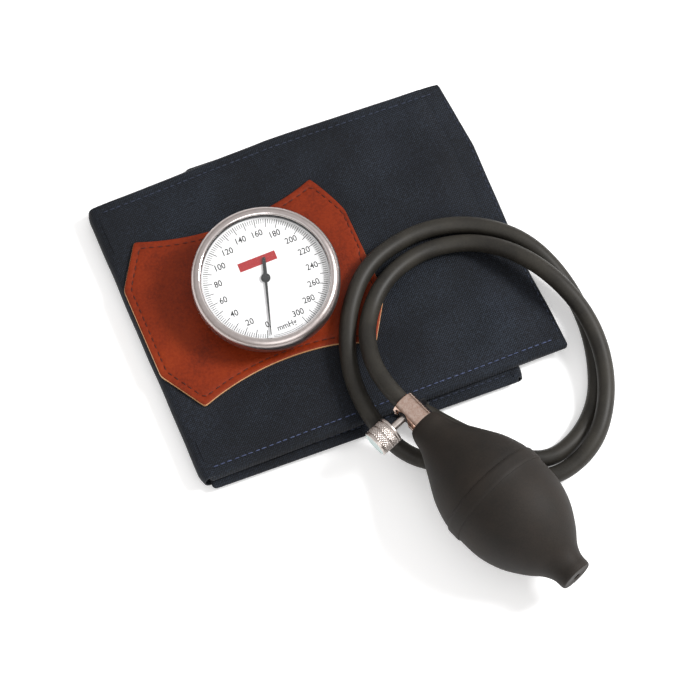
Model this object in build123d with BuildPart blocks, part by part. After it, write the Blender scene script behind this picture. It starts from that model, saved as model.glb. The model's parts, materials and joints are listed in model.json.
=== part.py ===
"""Aneroid upper arm blood pressure monitor, folded for storage.

A cuff folded in three leaves carries the pressure gauge on a leather patch. A rubber hose runs in two
loose turns from the bladder to the release valve, and the valve is plugged into the hand bulb.
X runs along the cuff, Y across it, Z is up, and the object lies on Z = 0. Millimetres and degrees.
"""

from build123d import *
from math import cos, pi, radians, sin, tan
import os

# ---------------------------------------------------------------- driving dimensions
CUFF_X, CUFF_Y = 0.375, 47.626  # middle of the cuff's top leaf frame, measured from the origin

CLOTH = 0.7  # one layer of nylon
TOP_LEAF = (-79.5, 82.5, -68.0, 72.0)  # x low, x high, y low, y high
TOP_LEAF_Z = (5.6, 10.2)
MIDDLE_LEAF = (137.8, 141.0, -8.9, -1.5)  # length, width, centre x, centre y
MIDDLE_LEAF_Z = (3.1, 5.1)
TAIL_LEAF = (97.0, 144.0, 11.0, 4.0)
TAIL_LEAF_Z = (0.6, 2.2)
LEAF_SKEW = -1.3  # the two lower leaves lie slightly askew under the top one
LEAF_CORNER = 3.0
HEM = 3.6
LEFT_FOLD_X = -79.5
LEFT_FOLD_R = 3.75
RIGHT_FOLD_R = 2.5

BLADDER = (122.0, 108.0, -9.0, 2.0)  # length, width, centre x, centre y
BLADDER_Z = (6.5, 9.3)
RUBBER = 0.7

PATCH_X, PATCH_Y = -28.7, 5.0
PATCH_OUT, PATCH_SIDE = 53.2, 21.8  # half length, and half height of the straight end
PATCH_IN, PATCH_TOP = 41.0, 42.0  # corner beside the hollow edge
PATCH_HOLLOW = 34.2  # half height at the middle of the hollow edge
PATCH_RIGHT = 48.7  # the right end is cut shorter than the left one
PATCH_RIGHT_IN = (40.3, 36.5)  # its rear corner and its front corner
LEATHER = 1.5

GAUGE_X, GAUGE_Y = -25.6, 3.9
GAUGE_LEAN = 9.5
GAUGE_LEAN_TOWARD = -112.5  # direction of lean in plan
BEZEL_R = 31.5
CASE_R = 28.6
DIAL_R = 28.4
DIAL_W = 15.2  # height of the dial's back above the patch, along the gauge's own axis
POINTER_W = 16.2
POINTER_SHAFT_W = 11.0  # where the pointer shaft starts, clear of the tilting rocking shaft
POINTER_REST = 253.5  # direction of the pointer at rest, in the dial's plane
SECTOR_AT = 150.0  # direction of the sector's pivot, in the dial's plane
GEAR_MODULE = 0.4
PINION_TEETH = 8
SECTOR_TEETH = 80  # of a whole wheel

HOSE_R = 3.7
HOSE_BEND = 0.45  # share of the shorter run that each bend may use
HOSE_END_RUN = 14.0  # straight run out of the valve, and out of the outlet at the cuff

NECK_X, NECK_Y, NECK_Z = 8.73, -85.13, 26.1  # mouth of the bulb
BULB_TOWARD = -69.6
BULB_DROP = 3.0
BULB_L = 90.5
BARREL_R = 5.7
BARREL_L = 12.8
KNOB_AT = 7.3  # distance of the knob's axis up the barrel from the bulb's mouth
KNOB_DROP = 8.0
KNOB_R = 6.0
KNOB_END = 20.9
THUMB_WALL = (17.0, 13.0)  # half axes of the part of the bulb that the fingers press in

os.makedirs("parts", exist_ok=True)


# ---------------------------------------------------------------- places and helpers
def on_cuff(x, y, z=0.0):
    return Vector(CUFF_X + x, CUFF_Y + y, z)


def leaf_plane(z, x=0.0, y=0.0, turn=0.0):
    return Plane(on_cuff(x, y, z), x_dir=(cos(radians(turn)), sin(radians(turn)), 0))


def section(origin, radial, along):
    """Plane for a turned profile: local X is the radius, local Y runs along the axis."""
    return Plane(origin, x_dir=radial, z_dir=radial.cross(along))


def save(part, label):
    part.label = label
    export_step(part, f"parts/{label}.step")


def turned(plane, outline):
    """Solid of revolution of a closed outline of (radius, height) about the plane's Y axis."""
    axis = Axis(plane.origin, plane.y_dir)
    with BuildPart() as piece:
        with BuildSketch(plane):
            with BuildLine():
                Polyline(*outline, close=True)
            make_face()
        revolve(axis=axis)
    return piece.part


def slab(plane, length, width, thickness, corner=LEAF_CORNER):
    with BuildPart() as piece:
        with BuildSketch(plane):
            RectangleRounded(length, width, corner)
        extrude(amount=thickness)
    return piece.part


PATCH_FACE = TOP_LEAF_Z[1] + LEATHER
LEAN_X = cos(radians(GAUGE_LEAN_TOWARD)) * sin(radians(GAUGE_LEAN))
LEAN_Y = sin(radians(GAUGE_LEAN_TOWARD)) * sin(radians(GAUGE_LEAN))
GAUGE_UP = Vector(LEAN_X, LEAN_Y, cos(radians(GAUGE_LEAN)))
GAUGE_RIGHT = (Vector(1, 0, 0) - GAUGE_UP * GAUGE_UP.X).normalized()
GAUGE = Plane(on_cuff(GAUGE_X, GAUGE_Y, PATCH_FACE), x_dir=GAUGE_RIGHT, z_dir=GAUGE_UP)
GAUGE_SECTION = section(GAUGE.origin, GAUGE_RIGHT, GAUGE_UP)


def gauge_polar(radius, direction, w=0.0):
    """Plane parallel to the dial, centred at a radius and direction from the pointer's axis."""
    x, y = radius * cos(radians(direction)), radius * sin(radians(direction))
    return Plane(GAUGE.from_local_coords(Vector(x, y, w)), x_dir=GAUGE_RIGHT, z_dir=GAUGE_UP)


BULB_X = cos(radians(BULB_TOWARD)) * cos(radians(BULB_DROP))
BULB_Y = sin(radians(BULB_TOWARD)) * cos(radians(BULB_DROP))
BULB_DIR = Vector(BULB_X, BULB_Y, -sin(radians(BULB_DROP)))
BULB_SIDE = BULB_DIR.cross(Vector(0, 0, 1)).normalized()  # level, toward the knob
BULB_UP = BULB_SIDE.cross(BULB_DIR).normalized()
NECK = on_cuff(NECK_X, NECK_Y, NECK_Z)
BULB_SECTION = section(NECK, BULB_SIDE, BULB_DIR)

KNOB_DIR = BULB_SIDE * cos(radians(KNOB_DROP)) - BULB_UP * sin(radians(KNOB_DROP))
KNOB_CENTRE = NECK - BULB_DIR * KNOB_AT
KNOB_SECTION = section(KNOB_CENTRE, BULB_DIR, KNOB_DIR)
BARREL_MOUTH = NECK - BULB_DIR * BARREL_L

# ---------------------------------------------------------------- cuff: top leaf with the bladder
x_low, x_high, y_low, y_high = TOP_LEAF
top_l, top_w = x_high - x_low, y_high - y_low
top_x, top_y = (x_low + x_high) / 2, (y_low + y_high) / 2
panel_low, panel_high = TOP_LEAF_Z
GAUGE_HOLE_R = 6.6

with BuildPart() as cuff_outer_panel:
    with BuildSketch(leaf_plane(panel_high - CLOTH, top_x, top_y)):
        RectangleRounded(top_l, top_w, LEAF_CORNER)
    extrude(amount=CLOTH)
    with BuildSketch(leaf_plane(panel_high - CLOTH, GAUGE_X, GAUGE_Y)):
        Circle(GAUGE_HOLE_R)
    extrude(amount=CLOTH, mode=Mode.SUBTRACT)
save(cuff_outer_panel.part, "cuff_outer_panel")

save(slab(leaf_plane(panel_low, top_x, top_y), top_l, top_w, CLOTH), "cuff_inner_panel")

HOSE_PORT_X = 11.0
PORT_NECK_W = 12.0
PORT_MOUTH = on_cuff(14.0, -73.6, 10.0)
PORT_FACING = -54.0  # direction in plan that the hose outlet points to
PORT_DIR = Vector(cos(radians(PORT_FACING)), sin(radians(PORT_FACING)), 0)
PORT_R = 4.6
with BuildPart() as hem_binding:
    with BuildSketch(leaf_plane(panel_low + CLOTH, top_x, top_y)):
        RectangleRounded(top_l, top_w, LEAF_CORNER)
        with Locations((-HEM, 0)):
            Rectangle(top_l, top_w - 2 * HEM, mode=Mode.SUBTRACT)
        with Locations((HOSE_PORT_X - top_x, -top_w / 2)):
            Rectangle(PORT_NECK_W + 0.6, 2 * HEM + 1, mode=Mode.SUBTRACT)
    extrude(amount=panel_high - panel_low - 2 * CLOTH)
save(hem_binding.part, "hem_binding")

bladder_l, bladder_w, bladder_x, bladder_y = BLADDER
bladder_low, bladder_high = BLADDER_Z
with BuildPart() as bladder:
    with BuildSketch(leaf_plane(bladder_low, bladder_x, bladder_y)):
        RectangleRounded(bladder_l, bladder_w, 8)
    extrude(amount=bladder_high - bladder_low)
    with BuildSketch(leaf_plane(bladder_low + RUBBER, bladder_x, bladder_y)):
        RectangleRounded(bladder_l - 8, bladder_w - 8, 5)
    extrude(amount=bladder_high - bladder_low - 2 * RUBBER, mode=Mode.SUBTRACT)
    with BuildSketch(leaf_plane(bladder_high, GAUGE_X, GAUGE_Y)):
        Circle(4.2)
    extrude(amount=-RUBBER, mode=Mode.SUBTRACT)
save(bladder.part, "bladder")

# The hose outlet: a flat neck between the two panels that opens into a round mouth.
neck_back = bladder_y - bladder_w / 2
with BuildPart() as bladder_hose_port:
    with BuildSketch(leaf_plane(bladder_low, HOSE_PORT_X, (neck_back + y_low - 0.2) / 2)):
        Rectangle(PORT_NECK_W, neck_back - y_low + 0.2)
    extrude(amount=bladder_high - bladder_low)
    front = Plane(on_cuff(HOSE_PORT_X, y_low - 0.2, 0), x_dir=(1, 0, 0), z_dir=(0, -1, 0))
    with BuildSketch(front):
        with Locations((0, (bladder_low + bladder_high) / 2)):
            RectangleRounded(PORT_NECK_W, bladder_high - bladder_low, 1.2)
    with BuildSketch(Plane(PORT_MOUTH, x_dir=Vector(0, 0, 1).cross(PORT_DIR), z_dir=PORT_DIR)):
        Circle(PORT_R)
    loft()
save(bladder_hose_port.part, "bladder_hose_port")

with BuildPart() as left_fold:
    left_fold_end = on_cuff(LEFT_FOLD_X, y_low + 1, panel_high - LEFT_FOLD_R)
    with BuildSketch(Plane(left_fold_end, x_dir=(1, 0, 0), z_dir=(0, 1, 0))):
        Circle(LEFT_FOLD_R)
        Circle(LEFT_FOLD_R - CLOTH, mode=Mode.SUBTRACT)
        with Locations((LEFT_FOLD_R, 0)):
            Rectangle(2 * LEFT_FOLD_R, 3 * LEFT_FOLD_R, mode=Mode.SUBTRACT)
    extrude(amount=top_w - 2)
save(left_fold.part, "left_fold")

# ---------------------------------------------------------------- cuff: middle and tail leaves
middle_l, middle_w, middle_x, middle_y = MIDDLE_LEAF
middle_low, middle_high = MIDDLE_LEAF_Z
middle_plane = leaf_plane(middle_low, middle_x, middle_y, LEAF_SKEW)
save(slab(middle_plane, middle_l, middle_w, middle_high - middle_low), "middle_leaf")

LOOP_TAPE_T = 0.4
with BuildPart() as loop_tape:
    with BuildSketch(middle_plane.offset(-LOOP_TAPE_T)):
        RectangleRounded(middle_l - 14, middle_w - 16, 2)
    extrude(amount=LOOP_TAPE_T)
save(loop_tape.part, "loop_tape")

with BuildPart() as right_fold:
    fold_end = Vector(middle_l / 2, 1.5 - middle_w / 2, middle_high - middle_low - RIGHT_FOLD_R)
    fold_plane = Plane(
        middle_plane.from_local_coords(fold_end), x_dir=middle_plane.x_dir, z_dir=middle_plane.y_dir
    )
    with BuildSketch(fold_plane):
        Circle(RIGHT_FOLD_R)
        Circle(RIGHT_FOLD_R - CLOTH, mode=Mode.SUBTRACT)
        with Locations((-RIGHT_FOLD_R, 0)):
            Rectangle(2 * RIGHT_FOLD_R, 3 * RIGHT_FOLD_R, mode=Mode.SUBTRACT)
    extrude(amount=middle_w - 3)
save(right_fold.part, "right_fold")

tail_l, tail_w, tail_x, tail_y = TAIL_LEAF
tail_low, tail_high = TAIL_LEAF_Z
tail_plane = leaf_plane(tail_low, tail_x, tail_y, LEAF_SKEW)
save(slab(tail_plane, tail_l, tail_w, tail_high - tail_low), "tail_leaf")

with BuildPart() as hook_tape:
    with BuildSketch(tail_plane.offset(-tail_low)):
        RectangleRounded(tail_l - 8, tail_w - 10, 2)
    extrude(amount=tail_low)
save(hook_tape.part, "hook_tape")

# ---------------------------------------------------------------- leather patch
right_rear, right_front = PATCH_RIGHT_IN
with BuildPart() as leather_patch:
    with BuildSketch(leaf_plane(panel_high, PATCH_X, PATCH_Y)):
        with BuildLine():
            Line((PATCH_RIGHT, PATCH_SIDE), (PATCH_RIGHT, -PATCH_SIDE))
            Line((PATCH_RIGHT, -PATCH_SIDE), (right_front, -PATCH_TOP))
            ThreePointArc((right_front, -PATCH_TOP), (0, -PATCH_HOLLOW), (-PATCH_IN, -PATCH_TOP))
            Line((-PATCH_IN, -PATCH_TOP), (-PATCH_OUT, -PATCH_SIDE))
            Line((-PATCH_OUT, -PATCH_SIDE), (-PATCH_OUT, PATCH_SIDE))
            Line((-PATCH_OUT, PATCH_SIDE), (-PATCH_IN, PATCH_TOP))
            ThreePointArc((-PATCH_IN, PATCH_TOP), (0, PATCH_HOLLOW), (right_rear, PATCH_TOP))
            Line((right_rear, PATCH_TOP), (PATCH_RIGHT, PATCH_SIDE))
        make_face()
        with Locations((GAUGE_X - PATCH_X, GAUGE_Y - PATCH_Y)):
            Circle(GAUGE_HOLE_R, mode=Mode.SUBTRACT)
    extrude(amount=LEATHER)
save(leather_patch.part, "leather_patch")

# ---------------------------------------------------------------- gauge: housing
save(turned(GAUGE_SECTION, [(3.0, -2.4), (5.6, -2.4), (5.6, 0.9), (3.0, 0.9)]), "bladder_gauge_port")
STEM = [(1.2, -2.6), (2.9, -2.6), (2.9, 1.2), (4.2, 1.2), (4.2, 4.9), (2.9, 4.9), (2.9, 6.4), (1.2, 6.4)]
save(turned(GAUGE_SECTION, STEM), "gauge_stem")
CASE_FLOOR = 6.5
CASE_WALL = 1.2
case_inner = CASE_R - CASE_WALL
CASE = [(3.0, 5.0), (23.0, 5.0), (26.4, 6.4), (CASE_R, 10.0), (CASE_R, DIAL_W), (case_inner, DIAL_W)]
save(turned(GAUGE_SECTION, CASE + [(case_inner, 10.4), (22.4, CASE_FLOOR), (3.0, CASE_FLOOR)]), "gauge_case")

DIAL_T = 0.5
LENS_W = (17.6, 18.8)
dial_top = DIAL_W + DIAL_T
lens_low, lens_high = LENS_W
save(turned(GAUGE_SECTION, [(1.3, DIAL_W), (DIAL_R, DIAL_W), (DIAL_R, dial_top), (1.3, dial_top)]), "dial")
gasket = [(27.2, dial_top), (DIAL_R, dial_top), (DIAL_R, lens_low), (27.2, lens_low)]
save(turned(GAUGE_SECTION, gasket), "lens_gasket")
lens = [(0, lens_low), (DIAL_R, lens_low), (DIAL_R, lens_high), (0, lens_high)]
save(turned(GAUGE_SECTION, lens), "gauge_lens")
BEZEL_BORE = CASE_R + 0.05
bezel_skirt = [(BEZEL_BORE, 11.5), (30.8, 11.5), (BEZEL_R, 12.2), (BEZEL_R, 16.6)]
bezel_roll = [(31.1, 18.0), (30.1, 19.1), (28.8, 19.6), (27.4, 19.3), (27.2, lens_high), (BEZEL_BORE, lens_high)]
save(turned(GAUGE_SECTION, bezel_skirt + bezel_roll), "gauge_bezel")

# ---------------------------------------------------------------- gauge: movement
CAPSULE_R = 14.0
with BuildPart() as capsule:
    with BuildSketch(GAUGE_SECTION):
        with BuildLine():
            outside = [(1.3, 6.7), (CAPSULE_R, 6.9), (CAPSULE_R, 8.3), (0, 8.5), (0, 8.2)]
            inside = [(CAPSULE_R - 0.6, 8.0), (CAPSULE_R - 0.6, 7.2), (1.3, 7.0)]
            Polyline(*outside, *inside, close=True)
        make_face()
    revolve(axis=Axis(GAUGE.origin, GAUGE_UP))
save(capsule.part, "pressure_capsule")

save(turned(GAUGE_SECTION, [(0, 8.6), (1.6, 8.6), (1.6, 8.9), (0.9, 9.2), (0, 9.2)]), "capsule_stud")

PLATE_R = 22.5
POST_AT = 20.6
PLATE_W = (11.0, 11.8)
TOP_PLATE_W = (13.6, 14.2)
sector_axis_r = GEAR_MODULE * (PINION_TEETH + SECTOR_TEETH) / 2
SHAFT_R = 0.6
BEARING_R = 0.65


def movement_plate(w):
    with BuildPart() as plate:
        with BuildSketch(GAUGE.offset(w[0])):
            Circle(PLATE_R)
            Circle(BEARING_R, mode=Mode.SUBTRACT)
            with PolarLocations(sector_axis_r, 1, start_angle=SECTOR_AT):
                Circle(BEARING_R, mode=Mode.SUBTRACT)
        extrude(amount=w[1] - w[0])
    return plate.part


save(movement_plate(PLATE_W), "movement_plate")
save(movement_plate(TOP_PLATE_W), "movement_bridge")

with BuildPart() as movement_posts:
    with BuildSketch(GAUGE.offset(CASE_FLOOR)):
        with PolarLocations(POST_AT, 3, start_angle=SECTOR_AT + 60):
            Circle(1.3)
    extrude(amount=PLATE_W[0] - CASE_FLOOR)
    with BuildSketch(GAUGE.offset(PLATE_W[1])):
        with PolarLocations(POST_AT, 3, start_angle=SECTOR_AT + 60):
            Circle(1.1)
    extrude(amount=TOP_PLATE_W[0] - PLATE_W[1])
save(movement_posts.part, "movement_posts")

ROCKER_Y = 6.0
ROCKER_W = 9.9
with BuildPart() as rocking_shaft:
    rocker_end = Plane(
        GAUGE.from_local_coords(Vector(-8, ROCKER_Y, ROCKER_W)), x_dir=GAUGE.y_dir, z_dir=GAUGE_RIGHT
    )
    with BuildSketch(rocker_end):
        Circle(0.45)
    extrude(amount=16)
    with BuildSketch(GAUGE.offset(ROCKER_W - 0.35)):
        with Locations((0, ROCKER_Y / 2)):
            Rectangle(1.2, ROCKER_Y + 1.2)
        with Locations((6.5, ROCKER_Y - 2)):
            Rectangle(1.0, 4)
    extrude(amount=0.7)
save(rocking_shaft.part, "rocking_shaft")

with BuildPart() as rocker_bearings:
    with BuildSketch(GAUGE.offset(CASE_FLOOR)):
        with Locations((-15.6, ROCKER_Y), (15.6, ROCKER_Y)):
            Rectangle(1.6, 3)
    extrude(amount=PLATE_W[0] - CASE_FLOOR)
    with BuildSketch(GAUGE.offset(ROCKER_W - 0.9)):
        with Locations((-12.1, ROCKER_Y), (12.1, ROCKER_Y)):
            Rectangle(7.4, 3)
    extrude(amount=1.8)
    with BuildSketch(rocker_end.offset(-3)):
        Circle(0.5)
    extrude(amount=22, mode=Mode.SUBTRACT)
save(rocker_bearings.part, "rocker_bearings")


def tooth(pitch_radius, height_out, depth_in, direction):
    """Tapered tooth drawn inside the current line builder, pointing away from the wheel's centre."""
    root, tip = pitch_radius - depth_in, pitch_radius + height_out
    wide, narrow = 0.32, 0.11
    corners = [(root, -wide), (tip, -narrow), (tip, narrow), (root, wide)]
    turn = radians(direction)
    return [(x * cos(turn) - y * sin(turn), x * sin(turn) + y * cos(turn)) for x, y in corners]


PINION_R = GEAR_MODULE * PINION_TEETH / 2
SECTOR_R = GEAR_MODULE * SECTOR_TEETH / 2
GEAR_W = (12.2, 13.0)
with BuildPart() as pointer_shaft:
    with BuildSketch(GAUGE.offset(POINTER_SHAFT_W)):
        Circle(SHAFT_R)
    extrude(amount=POINTER_W - POINTER_SHAFT_W)
    with BuildSketch(GAUGE.offset(GEAR_W[0])):
        Circle(PINION_R - 0.5)
        for index in range(PINION_TEETH):
            with BuildLine():
                Polyline(*tooth(PINION_R, 0.3, 0.6, SECTOR_AT + 360 / PINION_TEETH * index), close=True)
            make_face()
    extrude(amount=GEAR_W[1] - GEAR_W[0])
save(pointer_shaft.part, "pointer_shaft")

SECTOR_SPAN = 11  # teeth on the sector
SECTOR_PITCH = 360 / SECTOR_TEETH
SECTOR_FIRST = SECTOR_AT + 180 + SECTOR_PITCH * 1.5  # the teeth start one and a half pitches past the mesh
with BuildPart() as sector_gear:
    with BuildSketch(gauge_polar(sector_axis_r, SECTOR_AT, 10.4)):
        Circle(SHAFT_R)
    extrude(amount=14.6 - 10.4)
    with BuildSketch(gauge_polar(sector_axis_r, SECTOR_AT, GEAR_W[0] + 0.1)):
        Circle(2.0)
        with BuildLine():
            low = radians(SECTOR_FIRST - SECTOR_PITCH * (SECTOR_SPAN - 0.5))
            high = radians(SECTOR_FIRST + SECTOR_PITCH * 0.5)
            rim = SECTOR_R - 0.55
            start, end = (rim * cos(low), rim * sin(low)), (rim * cos(high), rim * sin(high))
            middle = ((low + high) / 2)
            Line((0, 0), start)
            ThreePointArc(start, (rim * cos(middle), rim * sin(middle)), end)
            Line(end, (0, 0))
        make_face()
        for index in range(SECTOR_SPAN):
            with BuildLine():
                Polyline(*tooth(SECTOR_R, 0.3, 0.65, SECTOR_FIRST - SECTOR_PITCH * index), close=True)
            make_face()
    extrude(amount=0.6)
save(sector_gear.part, "sector_gear")

with BuildPart() as hairspring:
    with BuildSketch(GAUGE.offset(14.35)):
        with BuildLine() as coil:
            for half_turn in range(6):
                radius = 1.4 + 0.5 * half_turn
                centre_x = 0.5 if half_turn % 2 else 0.0
                CenterArc((centre_x, 0), radius, 180 * (half_turn % 2), 180)
        trace(line_width=0.14)
    extrude(amount=0.5)
save(hairspring.part, "hairspring")

HUB_R = 2.0
with BuildPart() as pointer:
    rest = radians(POINTER_REST)
    pointing = GAUGE_RIGHT * cos(rest) + GAUGE.y_dir * sin(rest)
    with BuildSketch(Plane(GAUGE.offset(POINTER_W).origin, x_dir=pointing, z_dir=GAUGE_UP)):
        Circle(HUB_R)
        with BuildLine():
            Polyline((0, -0.55), (25.0, -0.18), (25.0, 0.18), (0, 0.55), close=True)
        make_face()
        with BuildLine():
            Polyline((0, -0.8), (-9.1, -0.7), (-9.1, 0.7), (0, 0.8), close=True)
        make_face()
    extrude(amount=0.35)
    with BuildSketch(GAUGE.offset(POINTER_W)):
        Circle(1.3)
    extrude(amount=0.9)
save(pointer.part, "pointer")

# ---------------------------------------------------------------- release valve
with BuildPart() as valve_body:
    with BuildSketch(BULB_SECTION):
        with BuildLine():
            barrel = [(1.3, -BARREL_L), (5.3, -BARREL_L), (BARREL_R, 0.4 - BARREL_L), (BARREL_R, -0.1)]
            spigot = [(4.9, -0.1), (4.9, 9.4), (3.0, 9.4), (3.0, 5.0), (1.3, 5.0)]
            Polyline(*barrel, *spigot, close=True)
        make_face()
    revolve(axis=Axis(NECK, BULB_DIR))
    with BuildSketch(Plane(KNOB_CENTRE + KNOB_DIR * 3.6, z_dir=KNOB_DIR)):
        Circle(4.2)
    extrude(amount=4, mode=Mode.SUBTRACT)
    with BuildSketch(Plane(KNOB_CENTRE + KNOB_DIR * 0.3, z_dir=KNOB_DIR)):
        Circle(1.65)
    extrude(amount=4, mode=Mode.SUBTRACT)
save(valve_body.part, "valve_body")

barb_outline = [(1.3, -BARREL_L - 11), (1.9, -BARREL_L - 11), (2.5, -BARREL_L - 8), (2.2, -BARREL_L - 7.8)]
barb_outline += [(2.2, -BARREL_L - 5), (2.5, -BARREL_L - 2), (2.5, -BARREL_L), (1.3, -BARREL_L)]
save(turned(BULB_SECTION, barb_outline), "hose_barb")

needle = [(0, 0.5), (0.7, 0.9), (1.2, 1.5), (1.2, 2.5), (0, 2.5)]
save(turned(KNOB_SECTION, needle), "valve_needle")
packing = [(1.72, 3.65), (3.2, 3.65), (3.2, 4.5), (1.72, 4.5)]
save(turned(KNOB_SECTION, packing), "stem_packing")
GROOVE = 0.35
stem_outline = [(0, 2.55), (1.6, 2.55), (1.6, 11.0)]
flange_outline = [(KNOB_R - 0.5, 11.0), (KNOB_R, 11.4), (KNOB_R, 12.1), (KNOB_R - 0.6, 12.3), (KNOB_R - 0.6, 12.7)]
knurl_outline = [(KNOB_R, 12.9), (KNOB_R, KNOB_END - 1.4), (KNOB_R - GROOVE, KNOB_END - 1.3)]
knurl_outline += [(KNOB_R - GROOVE, KNOB_END - 0.9), (KNOB_R, KNOB_END - 0.8), (KNOB_R, KNOB_END - 0.4)]
end_outline = [(KNOB_R - 0.4, KNOB_END), (0, KNOB_END)]
release_knob = turned(KNOB_SECTION, stem_outline + flange_outline + knurl_outline + end_outline)
save(release_knob, "release_knob")

save(turned(BULB_SECTION, [(0, 7.2), (2.4, 7.2), (2.4, 7.9), (0, 7.9)]), "outlet_valve_disc")
save(turned(BULB_SECTION, [(1.1, 8.0), (2.95, 8.0), (2.95, 9.4), (1.1, 9.4)]), "outlet_valve_seat")

# ---------------------------------------------------------------- bulb
BULB_OUTSIDE = [(6.6, 0.0), (8.15, 3.4), (9.7, 9.0), (14.6, 18.0), (19.8, 27.5), (22.5, 35.5), (23.4, 44.0)]
BULB_TAIL_SIDE = [(22.8, 56.0), (19.8, 66.0), (14.4, 75.0), (9.8, 80.6), (7.7, 85.0), (7.4, 90.0)]
BULB_INSIDE = [(4.5, 78.2), (11.4, 74.8), (17.4, 66.0), (20.4, 56.0), (21.1, 44.0), (20.1, 35.5)]
BULB_MOUTH_SIDE = [(17.3, 27.5), (12.2, 18.0), (7.3, 11.0), (4.95, 9.8)]
RIB = (39.2, 45.4)
RIB_PROUD = 0.35


def bulb_shell():
    """The whole rubber bulb: a thin-walled hollow body, open at the neck and at the tail."""
    with BuildPart() as shell:
        with BuildSketch(BULB_SECTION):
            with BuildLine():
                Line((4.95, 0.0), BULB_OUTSIDE[0])
                Spline(*BULB_OUTSIDE, *BULB_TAIL_SIDE)
                Line(BULB_TAIL_SIDE[-1], (6.9, BULB_L))
                Line((6.9, BULB_L), (1.6, BULB_L))
                Line((1.6, BULB_L), (1.6, 88.5))
                Line((1.6, 88.5), (4.5, 88.5))
                Line((4.5, 88.5), BULB_INSIDE[0])
                Spline(*BULB_INSIDE, *BULB_MOUTH_SIDE)
                Line(BULB_MOUTH_SIDE[-1], (4.95, 0.0))
            make_face()
        revolve(axis=Axis(NECK, BULB_DIR))
        with BuildSketch(BULB_SECTION):
            with BuildLine():
                low, high = RIB
                Polyline((21.5, low), (23.1 + RIB_PROUD, low), (23.4 + RIB_PROUD, high), (21.5, high), close=True)
            make_face()
        revolve(axis=Axis(NECK, BULB_DIR))
    return shell.part


THUMB_AT = 44.0
THUMB_GAP = 0.4
wall_length, wall_width = THUMB_WALL
thumb_plane = Plane(NECK + BULB_DIR * THUMB_AT + BULB_UP * 10, x_dir=BULB_DIR, z_dir=BULB_UP)
with BuildPart() as bulb:
    add(bulb_shell())
    with BuildSketch(thumb_plane):
        Ellipse(wall_length, wall_width)
    extrude(amount=20, mode=Mode.SUBTRACT)
save(bulb.part, "bulb")

with BuildPart() as bulb_thumb_wall:
    add(bulb_shell())
    with BuildSketch(thumb_plane):
        Ellipse(wall_length - THUMB_GAP, wall_width - THUMB_GAP)
    extrude(amount=20, mode=Mode.INTERSECT)
save(bulb_thumb_wall.part, "bulb_thumb_wall")

BALL_R = 1.8
ball_seat = 86.5
inlet_inside = [(1.2, 88.3), (1.2, ball_seat), (1.88, ball_seat), (1.88, 81.0), (1.2, 81.0), (1.2, 78.4)]
save(turned(BULB_SECTION, [(4.45, 78.4), (4.45, 88.3)] + inlet_inside), "inlet_valve_body")
ball_centre = NECK + BULB_DIR * (ball_seat - 1.37)
with BuildPart() as inlet_valve_ball:
    with Locations(ball_centre):
        Sphere(BALL_R)
save(inlet_valve_ball.part, "inlet_valve_ball")
save(turned(BULB_SECTION, [(0, 88.6), (1.55, 88.6), (1.55, 89.1), (0, 89.1)]), "intake_screen")

# ---------------------------------------------------------------- hose
HOSE_ROUTE = [
    (1.8, -41.0, 21.5),
    (8.2, -27.0, 16.4),
    (18.4, -15.3, 16.0),
    (32.8, -7.8, 15.4),
    (49.5, -5.8, 14.4),
    (65.5, -11.0, 15.6),
    (78.0, -24.0, 19.8),
    (88.0, -41.0, 20.2),
    (94.5, -60.5, 16.0),
    (93.8, -80.5, 12.4),
    (86.5, -99.5, 11.4),
    (74.5, -114.2, 8.4),
    (58.0, -119.8, 4.2),
    (43.6, -116.8, 4.0),
    (29.4, -103.8, 3.9),
    (13.0, -96.6, 3.9),
    (-0.5, -86.5, 5.6),
    (-8.0, -72.0, 14.6),
    (-9.6, -54.5, 16.3),
    (-5.6, -36.3, 15.9),
    (3.1, -18.8, 15.9),
    (16.4, -4.2, 16.1),
    (34.5, 2.6, 15.0),
    (53.5, 3.2, 14.4),
    (71.5, -4.0, 14.4),
    (85.8, -18.5, 14.6),
    (94.0, -37.5, 9.4),
    (96.0, -58.5, 4.7),
    (91.8, -78.0, 4.1),
    (84.0, -95.0, 4.1),
    (71.0, -106.8, 4.1),
    (55.5, -112.0, 4.1),
    (42.2, -105.8, 5.4),
    (31.6, -94.8, 8.6),
]


def hose_points():
    """Corners of the hose's route, from the valve's mouth to the outlet at the cuff."""
    corners = [on_cuff(*point) for point in HOSE_ROUTE]
    valve_end = [BARREL_MOUTH, BARREL_MOUTH - BULB_DIR * HOSE_END_RUN]
    return valve_end + corners + [PORT_MOUTH + PORT_DIR * HOSE_END_RUN, PORT_MOUTH]


def bend_radii(points):
    radii = []
    for before, corner, after in zip(points, points[1:], points[2:]):
        first, second = corner - before, after - corner
        half_turn = radians(first.get_angle(second) / 2)
        radii.append(HOSE_BEND * min(first.length, second.length) / tan(half_turn))
    return radii


route = hose_points()
radii = bend_radii(route)
with BuildPart() as hose:
    with BuildLine() as hose_line:
        FilletPolyline(*route, radius=radii)
    with BuildSketch(Plane(hose_line.line @ 0, z_dir=hose_line.line % 0)):
        Circle(HOSE_R)
    sweep()
save(hose.part, "hose")

print("hose bend radii:", [round(radius) for radius in radii])
print("hose turns:", [round((b - a).get_angle(c - b)) for a, b, c in zip(route, route[1:], route[2:])])
print("hose runs:", [round((b - a).length) for a, b in zip(route, route[1:])])
hose_length = hose_line.wires()[0].length
print("hose length:", round(hose_length, 1), "volume:", round(hose.part.volume))
print("section times length:", round(pi * HOSE_R**2 * hose_length))
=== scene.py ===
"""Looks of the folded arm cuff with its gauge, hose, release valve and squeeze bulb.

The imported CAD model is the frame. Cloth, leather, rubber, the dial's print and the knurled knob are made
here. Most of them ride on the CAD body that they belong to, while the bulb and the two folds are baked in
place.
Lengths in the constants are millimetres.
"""

import json
import math

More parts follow.
